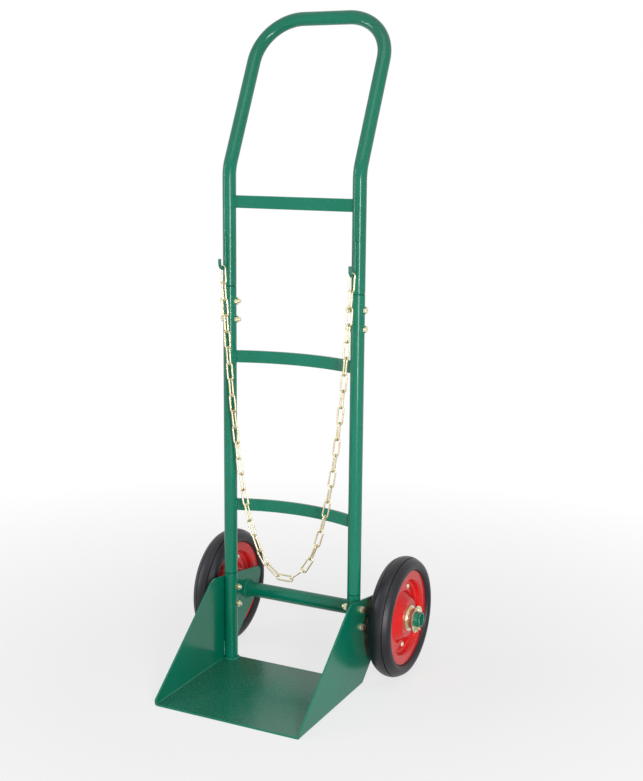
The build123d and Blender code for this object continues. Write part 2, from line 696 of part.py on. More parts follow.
# ---------------------------------------------------------------- weld beads
def fillet_ring(radius, leg, plane):
    """A weld bead round a tube where it stands on a flat face: a flat-faced ring of three corners."""
    section = Polyline((radius, 0), (radius + leg, 0), (radius, leg), close=True)
    return plane * revolve(make_face(Plane.XZ * section), Axis.Z)


def base_welds():
    """Beads round the socket feet and up the crevice between each socket and its cheek."""
    beads = []
    for side in SIDES.values():
        x = side * UPRIGHT_X
        foot = Plane(origin=(x, UPRIGHT_Y, SHEET), z_dir=(0, 0, 1))
        tube = rod(TUBE_OD, (x, UPRIGHT_Y, 0), (x, UPRIGHT_Y, SOCKET_TOP_Z))
        ring = fillet_ring(TUBE_OD / 2, FOOT_WELD, foot)
        behind = Pos(x, TOE_Y + TOE_DEPTH + TUBE_OD / 2, SHEET) * Box(2 * TUBE_OD, TUBE_OD, TUBE_OD)
        ring = ring - base_shoe - behind
        beads.append(max(ring.solids(), key=lambda solid: solid.volume))
        seam_x = side * (CHEEK_INNER_X - SEAM_WELD_RADIUS)
        seam_y = UPRIGHT_Y - TUBE_OD / 2 + SEAM_WELD_RADIUS
        low = SHEET + FOOT_WELD
        seam = rod(2 * SEAM_WELD_RADIUS, (seam_x, seam_y, low), (seam_x, seam_y, low + SEAM_WELD_LENGTH))
        seam = seam - tube - base_shoe
        beads.append(max(seam.solids(), key=lambda solid: solid.volume))
    return beads


def collar_welds():
    """Beads round the axle collars on the cheeks' inner faces."""
    beads = []
    for side in SIDES.values():
        face = Plane(origin=(side * CHEEK_INNER_X, AXLE_Y, AXLE_Z), z_dir=(-side, 0, 0))
        beads.append(fillet_ring(SLEEVE_BORE / 2 + COLLAR_WALL, COLLAR_WELD, face))
    return beads


def hook_welds():
    """Beads down both sides of each hook's rod, in the crevice against the leg."""
    beads = []
    for side in SIDES.values():
        x = side * UPRIGHT_X
        leg = rod(TUBE_OD, (x, UPRIGHT_Y, HANDLE_JOINT_Z), (x, UPRIGHT_Y, KNEE_Z))
        bar = rod(HOOK_ROD_D, (x, HOOK_ROD_Y, HANDLE_JOINT_Z), (x, HOOK_ROD_Y, HOOK_TOP_Z + 1))
        for way in (-1, 1):
            bead_x = x + way * (HOOK_ROD_D / 2 + HOOK_WELD_OFFSET)
            bead_y = HOOK_ROD_Y + HOOK_ROD_D / 4
            high = HOOK_TOP_Z - HOOK_WELD_RADIUS
            low = high - HOOK_WELD_LENGTH
            bead = rod(2 * HOOK_WELD_RADIUS, (bead_x, bead_y, low), (bead_x, bead_y, high))
            bead = bead - leg - bar
            beads.append(max(bead.solids(), key=lambda solid: solid.volume))
    return beads


# ---------------------------------------------------------------- the nodes
handle_head_seat = UPRIGHT_X + TUBE_OD / 2
base_head_seat = CHEEK_OUTER_X + WASHER_THICKNESS
nodes = {
    "base_shoe": [base_shoe],
    "handle_tube": [handle_tube],
    "handle_crossbar": [make_straight_bar(CROSSBAR_Z)],
    "saddle_bar_upper": [make_saddle_bar(UPPER_BAR_Z)],
    "saddle_bar_lower": [make_saddle_bar(LOWER_BAR_Z)],
    "handle_joint_bolts": every_bolt(HANDLE_BOLT_LEVELS, joint_bolt, handle_head_seat),
    "handle_joint_nuts": every_bolt(HANDLE_BOLT_LEVELS, joint_nut),
    "base_joint_bolts": every_bolt(BASE_BOLT_LEVELS, joint_bolt, base_head_seat),
    "base_joint_washers": every_bolt(BASE_BOLT_LEVELS, joint_washer),
    "base_joint_nuts": every_bolt(BASE_BOLT_LEVELS, joint_nut),
    "axle_tube": [axle_tube],
    "base_weld_beads": base_welds(),
    "collar_weld_beads": collar_welds(),
    "hook_weld_beads": hook_welds(),
    "chain_left_run": [chain[k] for k in range(1 - LINKS_EACH_SIDE, -BOTTOM_LINKS_EACH_SIDE)],
    "chain_bottom": [chain[k] for k in range(-BOTTOM_LINKS_EACH_SIDE, BOTTOM_LINKS_EACH_SIDE + 1)],
    "chain_right_run": [chain[k] for k in range(BOTTOM_LINKS_EACH_SIDE + 1, LINKS_EACH_SIDE)],
}
for name, side in SIDES.items():
    nodes[f"socket_tube_{name}"] = [make_socket(side)]
    nodes[f"frame_tube_{name}"] = [make_frame_tube(side)]
    nodes[f"chain_hook_{name}"] = [hooks[name]]
    nodes[f"chain_end_link_{name}"] = [chain[side * LINKS_EACH_SIDE]]
    nodes[f"axle_collar_{name}"] = [collar(side)]
    nodes[f"axle_spacer_{name}"] = [spacer(side)]
    nodes[f"axle_washer_inner_{name}"] = [inner_washer(side)]
    nodes[f"axle_washer_outer_{name}"] = [outer_washer(side)]
    nodes[f"split_pin_{name}"] = [split_pin(side)]
    for piece, solids in wheel_pieces().items():
        nodes[f"wheel_{name}_{piece}"] = [on_side(side, solid) for solid in solids]


def solids_of(shapes):
    """Every separate solid of a node."""
    return [solid for shape in shapes for solid in shape.solids()]


os.makedirs("parts", exist_ok=True)
for node, shapes in nodes.items():
    solids = solids_of(shapes)
    export_step(solids[0] if len(solids) == 1 else Compound(children=solids), f"parts/{node}.step")
print(len(nodes), "nodes,", sum(len(solids_of(shapes)) for shapes in nodes.values()), "solids")
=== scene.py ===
# %% [markdown]
# A torch cart: a green tubular hand truck for one gas cylinder, with red pressed wheels, a folded toe
# plate and a chain. The metalwork is already a set of exact solids, so this script loads them as a fixed
# frame and gives them their finish. Only what the solids leave plain, such as the ripples of a weld bead
# or the threads of a bolt, is made here as new surfaces.

# %% Load the frame
import json
import math

import bmesh
import bpy
import numpy as np
from mathutils import Matrix, Vector


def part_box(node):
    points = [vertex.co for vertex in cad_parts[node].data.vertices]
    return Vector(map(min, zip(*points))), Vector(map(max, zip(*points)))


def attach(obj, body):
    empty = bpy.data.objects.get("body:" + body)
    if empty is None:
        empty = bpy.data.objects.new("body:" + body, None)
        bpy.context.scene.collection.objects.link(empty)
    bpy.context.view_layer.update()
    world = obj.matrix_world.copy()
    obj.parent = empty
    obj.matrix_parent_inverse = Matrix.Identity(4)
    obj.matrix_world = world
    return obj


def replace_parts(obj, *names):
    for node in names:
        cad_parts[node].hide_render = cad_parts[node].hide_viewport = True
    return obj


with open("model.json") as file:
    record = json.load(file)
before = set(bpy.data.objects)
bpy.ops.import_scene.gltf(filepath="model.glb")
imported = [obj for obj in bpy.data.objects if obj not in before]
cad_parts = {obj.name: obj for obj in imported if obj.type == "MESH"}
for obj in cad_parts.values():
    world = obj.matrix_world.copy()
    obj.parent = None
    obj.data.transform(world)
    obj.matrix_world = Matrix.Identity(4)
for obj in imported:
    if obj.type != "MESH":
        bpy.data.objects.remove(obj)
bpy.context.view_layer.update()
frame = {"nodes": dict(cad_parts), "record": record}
nodes = frame["nodes"]

# %% [markdown]
# Every new piece has to meet the metalwork exactly. Sizes could be typed in again, but then two copies
# can drift apart. Here they are read from the solids themselves: a corner box where that is enough, and
# the raw points where one side of a piece matters.

# %% Read places from the solids
SIDES = {"left": -1, "right": 1}


def node_points(name):
    """All corner points of a solid's mesh, as an array of rows x, y, z in metres."""
    mesh = nodes[name].data
    points = np.empty(len(mesh.vertices) * 3, np.float32)
    mesh.vertices.foreach_get("co", points)
    return points.reshape(-1, 3).astype(float)


def middle_and_half(name):
    """The middle of a solid's box, and half its size along x, y and z."""
    low, high = (np.array(corner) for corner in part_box(name))
    return (low + high) / 2, (high - low) / 2


socket_middle, socket_half = middle_and_half("socket_tube_right")
tube_radius = socket_half[0]
upright_x, upright_y = socket_middle[:2]
plate_top = socket_middle[2] - socket_half[2]
collar_middle, collar_half = middle_and_half("axle_collar_right")
print("tube radius", round(tube_radius, 4), "uprights at x", round(upright_x, 4))

# %% [markdown]
# A finish is built from small effects that several materials share: a rubbed edge, settled dust, the
# faint orange-peel of sprayed paint. Each effect is a node group with named sockets, made once and placed
# in each material with its own values. A tiny helper that makes a node and wires its inputs keeps the
# groups readable.

# %% Helpers for shader nodes
def add_node(tree, kind, inputs=None, **settings):
    """Makes a node; inputs that are sockets are linked, and other inputs become the socket's value."""
    made = tree.nodes.new(kind)
    for key, value in settings.items():
        setattr(made, key, value)
    for key, value in (inputs or {}).items():
        if isinstance(value, bpy.types.NodeSocket):
            tree.links.new(value, made.inputs[key])
        else:
            made.inputs[key].default_value = value
    return made


def maths(tree, operation, first, second=0.0):
    """The result socket of one sum, product or function of two values."""
    return add_node(tree, "ShaderNodeMath", {0: first, 1: second}, operation=operation).outputs[0]


def noise(tree, vector, scale, detail=3.0, roughness=0.5):
    """The grey value of a noise pattern over the given coordinates."""
    inputs = {"Vector": vector, "Scale": scale, "Detail": detail, "Roughness": roughness}
    return add_node(tree, "ShaderNodeTexNoise", inputs).outputs["Fac"]


def ranged(tree, value, low, high, to_low, to_high):
    """The value moved from one range to another and held inside it."""
    inputs = {"Value": value, "From Min": low, "From Max": high, "To Min": to_low, "To Max": to_high}
    return add_node(tree, "ShaderNodeMapRange", inputs, clamp=True).outputs["Result"]


def mixed(tree, factor, first, second):
    """One colour blended into another by a factor."""
    made = add_node(tree, "ShaderNodeMix", {"Factor": factor}, data_type="RGBA")
    for socket, value in ((made.inputs[6], first), (made.inputs[7], second)):
        if isinstance(value, bpy.types.NodeSocket):
            tree.links.new(value, socket)
        else:
            socket.default_value = value
    return made.outputs[2]


print("ready to make and wire nodes")

# %% [markdown]
# A group's sockets belong to the outside of its tree, and the nodes inside are linked to them through an
# input node and an output node. One helper sets up all three from two short lists.

# %% Start a shader group
def new_group(name, inputs, outputs):
    """An empty shader group with typed sockets, its tree, and its inner input and output nodes."""
    tree = bpy.data.node_groups.new(name, "ShaderNodeTree")
    for label, kind, value in inputs:
        socket = tree.interface.new_socket(name=label, in_out="INPUT", socket_type=kind)
        if value is not None:
            socket.default_value = value
    for label, kind in outputs:
        tree.interface.new_socket(name=label, in_out="OUTPUT", socket_type=kind)
    return tree, tree.nodes.new("NodeGroupInput").outputs, tree.nodes.new("NodeGroupOutput").inputs


FLOAT, COLOUR, VECTOR = "NodeSocketFloat", "NodeSocketColor", "NodeSocketVector"
print("ready to start groups")

# %% [markdown]
# Paint and plating are thinnest along an edge, so a real edge catches the light and shows first wear. On
# the enamel the lighter edge colour is a painted highlight, broken up like wear; on the plating it shows
# bare zinc at worn edges. The edge could be found from the mesh's curvature, but these solids are loose
# triangles. A Bevel node feels for nearby surfaces instead: where its rounded normal turns away from the
# true one, there is an edge.

# %% Effect: edge highlight and wear
EDGE_BREAKUP_GRAIN = 160.0
EDGE_STARTS, EDGE_FULL = 0.995, 0.86


def make_edge_highlight_and_wear():
    """Mask = 1 where the rounded normal and the face normal part, 0 on open surface."""
    tree, given, result = new_group(
        "edge_highlight_and_wear",
        [("Radius", FLOAT, 0.0008), ("Vector", VECTOR, None)],
        [("Mask", FLOAT), ("Normal", VECTOR)],
    )
    rounded = add_node(tree, "ShaderNodeBevel", {"Radius": given["Radius"]}, samples=4)
    flat = add_node(tree, "ShaderNodeNewGeometry")
    normals = {0: rounded.outputs[0], 1: flat.outputs["Normal"]}
    dot = add_node(tree, "ShaderNodeVectorMath", normals, operation="DOT_PRODUCT")
    edge = ranged(tree, dot.outputs["Value"], EDGE_STARTS, EDGE_FULL, 0.0, 1.0)
    broken = ranged(tree, noise(tree, given["Vector"], EDGE_BREAKUP_GRAIN), 0.35, 0.62, 0.25, 1.0)
    tree.links.new(maths(tree, "MULTIPLY", edge, broken), result["Mask"])
    tree.links.new(rounded.outputs[0], result["Normal"])
    return tree


edge_highlight_and_wear = make_edge_highlight_and_wear()
print("made group", edge_highlight_and_wear.name)

# %% [markdown]
# Dust settles on what faces up, and handling leaves faint smudges anywhere. Both change how sharply a
# gloss surface mirrors its room more than they change its colour.

# %% Effect: settled dust and smudges
DUST_GRAIN, SMUDGE_PATCH = 420.0, 9.0


def make_settled_dust():
    """Dust = how far the surface faces up, times broken noise. Smudge = slow noise, anywhere."""
    tree, given, result = new_group(
        "settled_dust",
        [("Amount", FLOAT, 0.2), ("Vector", VECTOR, None)],
        [("Dust", FLOAT), ("Smudge", FLOAT)],
    )
    normal = add_node(tree, "ShaderNodeNewGeometry").outputs["Normal"]
    facing = add_node(tree, "ShaderNodeSeparateXYZ", {0: normal})
    upward = ranged(tree, facing.outputs["Z"], 0.25, 1.0, 0.0, 1.0)
    speckle = ranged(tree, noise(tree, given["Vector"], DUST_GRAIN, 6.0, 0.7), 0.45, 0.72, 0.0, 1.0)
    dust = maths(tree, "MULTIPLY", maths(tree, "MULTIPLY", upward, speckle), given["Amount"])
    tree.links.new(dust, result["Dust"])
    smudge = ranged(tree, noise(tree, given["Vector"], SMUDGE_PATCH, 5.0, 0.6), 0.4, 0.7, 0.0, 1.0)
    tree.links.new(smudge, result["Smudge"])
    return tree


settled_dust = make_settled_dust()
print("made group", settled_dust.name)

# %% [markdown]
# Sprayed enamel isn't one colour. It is a little deeper where it ran thick and lighter where it is thin,
# and its skin has a very shallow orange-peel. The group gives colour, roughness and height. How strongly
# the paint mirrors its room is the same all over, so that is set on each material's shader instead.

# %% Effect: sprayed enamel
ENAMEL_PATCH, ORANGE_PEEL = 6.0, 480.0
CLEAN_ROUGHNESS, SMUDGED_ROUGHNESS = 0.15, 0.28
EDGE_HIGHLIGHT_SHOWS = 0.45
DUST_GREY = (0.42, 0.42, 0.39, 1.0)


def make_sprayed_enamel():
    """Colour = thick to thin by slow noise, with a painted highlight at edges, dusty on top. Height = fine,
    shallow noise.
    """
    tree, given, result = new_group(
        "sprayed_enamel",
        [("Thick", COLOUR, None), ("Thin", COLOUR, None), ("Edge_highlight", COLOUR, None), ("Vector", VECTOR, None)],
        [("Colour", COLOUR), ("Roughness", FLOAT), ("Height", FLOAT), ("Normal", VECTOR)],
    )
    coordinates = given["Vector"]
    edge_finder = add_node(tree, "ShaderNodeGroup", {}, node_tree=edge_highlight_and_wear)
    dust = add_node(tree, "ShaderNodeGroup", {}, node_tree=settled_dust)
    tree.links.new(coordinates, edge_finder.inputs["Vector"])
    tree.links.new(coordinates, dust.inputs["Vector"])
    slow = ranged(tree, noise(tree, coordinates, ENAMEL_PATCH, 4.0, 0.55), 0.3, 0.7, 0.0, 1.0)
    body = mixed(tree, slow, given["Thick"], given["Thin"])
    # Painted highlight: the edges take a lighter tint of the paint, where light would catch them.
    edge_lightening = maths(tree, "MULTIPLY", edge_finder.outputs["Mask"], EDGE_HIGHLIGHT_SHOWS)
    with_edge_highlight = mixed(tree, edge_lightening, body, given["Edge_highlight"])
    dusty = mixed(tree, dust.outputs["Dust"], with_edge_highlight, DUST_GREY)
    tree.links.new(dusty, result["Colour"])
    smudge = dust.outputs["Smudge"]
    smudged = ranged(tree, smudge, 0.0, 1.0, CLEAN_ROUGHNESS, SMUDGED_ROUGHNESS)
    tree.links.new(maths(tree, "ADD", smudged, dust.outputs["Dust"]), result["Roughness"])
    tree.links.new(noise(tree, coordinates, ORANGE_PEEL, 2.0, 0.4), result["Height"])
    tree.links.new(edge_finder.outputs["Normal"], result["Normal"])
    return tree


sprayed_enamel = make_sprayed_enamel()
print("made group", sprayed_enamel.name)

# %% [markdown]
# Bright zinc with a yellow passivate goes from cream to straw, with faint pink and green bloom, and is
# never evenly shiny. Two slow noises choose the tint, and a fine one breaks up the reflection.

# %% Effect: passivated zinc
STRAW_PATCH, BLOOM_PATCH, PLATING_GRAIN = 70.0, 31.0, 900.0
SMOOTH_PLATING, ROUGH_PLATING = 0.22, 0.42
ZINC_EDGE, ZINC_EDGE_SHOWS = 0.0005, 0.5
BARE_ZINC = (0.9, 0.89, 0.85, 1.0)


def make_passivated_zinc():
    """Colour = pale to straw by one noise, bloom by a second. Roughness and height follow fine noise."""
    tree, given, result = new_group(
        "passivated_zinc",
        [("Pale", COLOUR, None), ("Straw", COLOUR, None), ("Bloom", COLOUR, None), ("Vector", VECTOR, None)],
        [("Colour", COLOUR), ("Roughness", FLOAT), ("Height", FLOAT), ("Normal", VECTOR)],
    )
    coordinates = given["Vector"]
    edge_finder = add_node(tree, "ShaderNodeGroup", {"Radius": ZINC_EDGE}, node_tree=edge_highlight_and_wear)
    tree.links.new(coordinates, edge_finder.inputs["Vector"])
    straw = ranged(tree, noise(tree, coordinates, STRAW_PATCH, 4.0, 0.6), 0.35, 0.68, 0.0, 1.0)
    bloom = ranged(tree, noise(tree, coordinates, BLOOM_PATCH, 2.0, 0.5), 0.55, 0.8, 0.0, 0.55)
    plated = mixed(tree, bloom, mixed(tree, straw, given["Pale"], given["Straw"]), given["Bloom"])
    edge_lightening = maths(tree, "MULTIPLY", edge_finder.outputs["Mask"], ZINC_EDGE_SHOWS)
    bright = mixed(tree, edge_lightening, plated, BARE_ZINC)
    tree.links.new(bright, result["Colour"])
    fine = noise(tree, coordinates, PLATING_GRAIN, 5.0, 0.65)
    tree.links.new(ranged(tree, fine, 0.3, 0.7, SMOOTH_PLATING, ROUGH_PLATING), result["Roughness"])
    tree.links.new(fine, result["Height"])
    tree.links.new(edge_finder.outputs["Normal"], result["Normal"])
    return tree


passivated_zinc = make_passivated_zinc()
print("made group", passivated_zinc.name)

# %% [markdown]
# A solid tyre comes out of a turned mould, so its side carries very fine rings round the axle, and its
# skin is dull with a little bloom. The rings are a wave of the distance from the axle. A Mapping node
# brings the axle to the middle of the pattern.

# %% Effect: moulded rubber
MOULD_RINGS, RING_HEIGHT = 4200.0, 0.12
SMOOTH_RUBBER, ROUGH_RUBBER = 0.34, 0.5
RUBBER_GRAIN, RUBBER_PATCH = 700.0, 22.0


def make_moulded_rubber():
    """Height = wave of the distance from the x axis, plus grain. Colour = black to grey bloom by noise."""
    tree, given, result = new_group(
        "moulded_rubber",
        [("Black", COLOUR, None), ("Bloom", COLOUR, None), ("Vector", VECTOR, None)],
        [("Colour", COLOUR), ("Roughness", FLOAT), ("Height", FLOAT)],
    )
    split = add_node(tree, "ShaderNodeSeparateXYZ", {0: given["Vector"]}).outputs
    y_squared = maths(tree, "MULTIPLY", split["Y"], split["Y"])
    z_squared = maths(tree, "MULTIPLY", split["Z"], split["Z"])
    from_axle = maths(tree, "SQRT", maths(tree, "ADD", y_squared, z_squared))
    rings = maths(tree, "SINE", maths(tree, "MULTIPLY", from_axle, MOULD_RINGS))
    grain = noise(tree, given["Vector"], RUBBER_GRAIN, 4.0, 0.6)
    tree.links.new(maths(tree, "ADD", maths(tree, "MULTIPLY", rings, RING_HEIGHT), grain), result["Height"])
    bloom = ranged(tree, noise(tree, given["Vector"], RUBBER_PATCH, 5.0, 0.6), 0.42, 0.75, 0.0, 0.6)
    tree.links.new(mixed(tree, bloom, given["Black"], given["Bloom"]), result["Colour"])
    tree.links.new(ranged(tree, grain, 0.3, 0.7, SMOOTH_RUBBER, ROUGH_RUBBER), result["Roughness"])
    return tree


moulded_rubber = make_moulded_rubber()
print("made group", moulded_rubber.name)

# %% [markdown]
# A material now needs one group, one shader and a shallow bump. Values that are the same all over, such
# as how strongly it mirrors, are set straight on the shader.

# %% Build a material from a group
def finish_from(name, group, colours, bump, shader, centre=None):
    """Places the group with its colours, joins it to the shader, and sets the shader's plain values.

    bump is a strength and a depth in metres; centre moves the middle of the pattern to a place.
    """
    material = bpy.data.materials.new(name)
    material.use_nodes = True
    tree = material.node_tree
    principled = tree.nodes["Principled BSDF"]
    coordinates = add_node(tree, "ShaderNodeTexCoord").outputs["Object"]
    if centre is not None:
        shifted = {"Vector": coordinates, "Location": [-v for v in centre]}
        coordinates = add_node(tree, "ShaderNodeMapping", shifted).outputs["Vector"]
    effect = add_node(tree, "ShaderNodeGroup", {}, node_tree=group)
    tree.links.new(coordinates, effect.inputs["Vector"])
    for label, colour in colours.items():
        effect.inputs[label].default_value = (*colour, 1.0)
    tree.links.new(effect.outputs["Colour"], principled.inputs["Base Color"])
    tree.links.new(effect.outputs["Roughness"], principled.inputs["Roughness"])
    depth = {"Height": effect.outputs["Height"], "Strength": bump[0], "Distance": bump[1]}
    if "Normal" in effect.outputs:
        depth["Normal"] = effect.outputs["Normal"]
    tree.links.new(add_node(tree, "ShaderNodeBump", depth).outputs["Normal"], principled.inputs["Normal"])
    for label, value in shader.items():
        principled.inputs[label].default_value = value
    return material


print("ready to build materials")

# %% [markdown]
# The frame and the wheels are sprayed with the same kind of enamel, in green and in red. Both mirror the
# pale room only weakly, or a white veil would wash out their colour.

# %% Green and red enamel
ENAMEL_GLOSS = {"Specular IOR Level": 0.32}
ENAMEL_BUMP = (0.06, 0.0003)
# The edge colour of each enamel is a painted highlight, a lighter tint of its paint.
green_enamel = finish_from(
    "green_enamel",
    sprayed_enamel,
    {"Thick": (0.002, 0.17, 0.098), "Thin": (0.004, 0.215, 0.13), "Edge_highlight": (0.05, 0.36, 0.25)},
    ENAMEL_BUMP,
    ENAMEL_GLOSS,
)
red_enamel = finish_from(
    "red_enamel",
    sprayed_enamel,
    {"Thick": (0.72, 0.008, 0.009), "Thin": (0.82, 0.014, 0.012), "Edge_highlight": (0.88, 0.1, 0.08)},
    ENAMEL_BUMP,
    ENAMEL_GLOSS,
)
print("made", green_enamel.name, "and", red_enamel.name)

# %% [markdown]
# Bolts, nuts, washers and rivets are plated a pale yellow. The chain is plated too, but its wire is
# rubbed where links work on each other, so it is a little darker and browner. The hub bushes are nylon,
# which has no shine of metal, but is mottled as finely, so the same effect serves with other colours.

# %% Zinc and nylon
PLATING_BUMP, WIRE_BUMP = (0.1, 0.0002), (0.15, 0.0002)
zinc_hardware = finish_from(
    "zinc_hardware",
    passivated_zinc,
    {"Pale": (0.8, 0.77, 0.62), "Straw": (0.74, 0.66, 0.4), "Bloom": (0.6, 0.62, 0.52)},
    PLATING_BUMP,
    {"Metallic": 1.0},
)
zinc_chain = finish_from(
    "zinc_chain",
    passivated_zinc,
    {"Pale": (0.78, 0.72, 0.52), "Straw": (0.62, 0.5, 0.28), "Bloom": (0.5, 0.42, 0.36)},
    WIRE_BUMP,
    {"Metallic": 1.0},
)
nylon = finish_from(
    "nylon",
    passivated_zinc,
    {"Pale": (0.74, 0.73, 0.68), "Straw": (0.68, 0.66, 0.58), "Bloom": (0.7, 0.7, 0.66)},
    PLATING_BUMP,
    {"Metallic": 0.0},
)
print("made", zinc_hardware.name, zinc_chain.name, nylon.name)

# %% [markdown]
# The rings in a tyre's skin run round its own axle, so each wheel's rubber has its own centre.

# %% Tyre rubber
RUBBER_BUMP = (0.25, 0.0003)
rubber = {}
for side in SIDES:
    axle_centre, _ = middle_and_half(f"wheel_{side}_tyre")
    rubber[side] = finish_from(
        f"tyre_rubber_{side}",
        moulded_rubber,
        {"Black": (0.008, 0.008, 0.012), "Bloom": (0.022, 0.021, 0.028)},
        RUBBER_BUMP,
        {"Specular IOR Level": 0.4},
        centre=axle_centre,
    )
print("made", [material.name for material in rubber.values()])

# %% [markdown]
# The record says which slot each solid belongs to, so the finishes are given out by slot. The two tyres
# are the exception: their ring pattern is centred on the axle, and each has its own.

# %% Give the solids their finish
FINISHES = {
    "green_paint": green_enamel,
    "red_paint": red_enamel,
    "zinc_plate": zinc_hardware,
    "chain_zinc": zinc_chain,
    "nylon": nylon,
}
for row in frame["record"]["subparts"]:
    name, slot = row["node"], row["material_slot"]
    side = "left" if "left" in name else "right"
    finish = rubber[side] if slot == "tyre_rubber" else FINISHES[slot]
    for holder in nodes[name].material_slots:
        holder.material = finish

# %% [markdown]
# A weld bead is a row of small overlapping pools, one for each dip of the rod, and a bolt is wound with
# a thread. Both could be a bump in the material, but they show in outline. So both are surfaces: a ring of
# points is carried along a line, and its radius changes on the way.

# %% Carry a ring along a path
def ring_faces(rows, columns, closed):
    """Faces between neighbouring rings; the last ring joins the first where the path is closed."""
    row = np.arange(rows if closed else rows - 1)[:, None]
    column = np.arange(columns)[None, :]
    next_row, next_column = (row + 1) % rows, (column + 1) % columns
    corners = (
        row * columns + column,
        row * columns + next_column,
        next_row * columns + next_column,
        next_row * columns + column,
    )
    return np.stack(np.broadcast_arrays(*corners), -1).reshape(-1, 4)


def carried_ring(path, radii, flat_normal, sides, closed=False):
    """Point = path + radius * (cos turn * across + sin turn * normal), for a path lying in one plane.

    radii is one value for each point of the path, or one for each point and turn.
    """
    tangent = np.roll(path, -1, 0) - np.roll(path, 1, 0) if closed else np.gradient(path, axis=0)
    tangent = tangent / np.linalg.norm(tangent, axis=1, keepdims=True)
    across = np.cross(flat_normal, tangent)
    turn = np.linspace(0, 2 * math.pi, sides, endpoint=False)[None, :, None]
    spokes = np.cos(turn) * across[:, None, :] + np.sin(turn) * np.array(flat_normal, float)
    radii = radii.reshape(len(path), -1)[:, :, None]
    return path[:, None, :] + radii * spokes


print("ready to carry rings along paths")

# %% [markdown]
# Several carried rings, such as all the beads at the tubes' feet, are one piece. At a closed tip many
# points fall together, so the doubles are merged first, and then the faces are turned outwards.

# %% Make one piece of several rings
def make_piece(name, tubes, material, body="frame"):
    """One mesh of several carried rings, its doubles merged and its faces turned outwards."""
    faces, start = [], 0
    for points, closed in tubes:
        faces.append(ring_faces(*points.shape[:2], closed) + start)
        start += points.shape[0] * points.shape[1]
    mesh = bpy.data.meshes.new(name)
    corners = np.concatenate([points.reshape(-1, 3) for points, _ in tubes])
    mesh.from_pydata(corners.tolist(), [], np.concatenate(faces).tolist())
    shell = bmesh.new()
    shell.from_mesh(mesh)
    bmesh.ops.remove_doubles(shell, verts=shell.verts, dist=1e-6)
    bmesh.ops.recalc_face_normals(shell, faces=shell.faces)
    shell.to_mesh(mesh)
    shell.free()
    mesh.shade_smooth()
    mesh.materials.append(material)
    piece = bpy.data.objects.new(name, mesh)
    bpy.context.scene.collection.objects.link(piece)
    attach(piece, body)
    print(name, len(mesh.polygons), "faces")
    return piece


print("ready to make pieces")

# %% [markdown]
# The bead's radius swells and pinches once for each pool, and at a free end it closes like the end of a
# finger. It is laid so that about half of it is sunk in the corner it fills, as melted metal is.

# %% Weld beads
POOL_PITCH = 0.0023
POOL_PINCH = 0.2
BEAD_SIDES = 12
POINTS_A_POOL = 8


def weld_bead(path_of, length, radius, flat_normal, closed=False):
    """Radius = full * (1 - pinch * |sin(pi * distance / pitch)|), rounded off at free ends."""
    pools = max(2, round(length / POOL_PITCH))
    share = np.linspace(0, 1, pools * POINTS_A_POOL + (not closed), endpoint=not closed)
    radii = radius * (1 - POOL_PINCH * np.abs(np.sin(math.pi * pools * share)))
    if not closed:
        from_end = np.clip(np.minimum(share, 1 - share) * length / radius, 0, 1)
        radii = radii * np.sqrt(from_end * (2 - from_end))
    return carried_ring(path_of(share), radii, flat_normal, BEAD_SIDES, closed), closed


def straight(start, end):
    """Path function: start to end in a straight line."""
    start, end = np.array(start, float), np.array(end, float)
    return lambda share: start + share[:, None] * (end - start)


def arc_round_z(centre, radius, first_deg, last_deg, side):
    """Path function: part of a level circle, its x mirrored on the left-hand side."""
    def path(share):
        angle = np.radians(first_deg + share * (last_deg - first_deg))
        x = centre[0] + side * radius * np.cos(angle)
        return np.stack([x, centre[1] + radius * np.sin(angle), np.full_like(angle, centre[2])], -1)
    return path


def circle_round_x(centre, radius):
    """Path function: a whole circle facing along x."""
    def path(share):
        angle = 2 * math.pi * share
        y, z = centre[1] + radius * np.cos(angle), centre[2] + radius * np.sin(angle)
        return np.stack([np.full_like(angle, centre[0]), y, z], -1)
    return path


print("ready to lay beads of pitch", POOL_PITCH)

# %% [markdown]
# Five corners of the cart are welded: the socket feet, the seams up the cheeks, the axle collars, the ends
# of the flat bars and the hook rods. The foot's bead stops short of the cheek, where a rod can't reach.

# %% Lay the beads
FOOT_BEAD, SEAM_BEAD, COLLAR_BEAD, BAR_BEAD, HOOK_BEAD = 0.0023, 0.0021, 0.0018, 0.0015, 0.0014
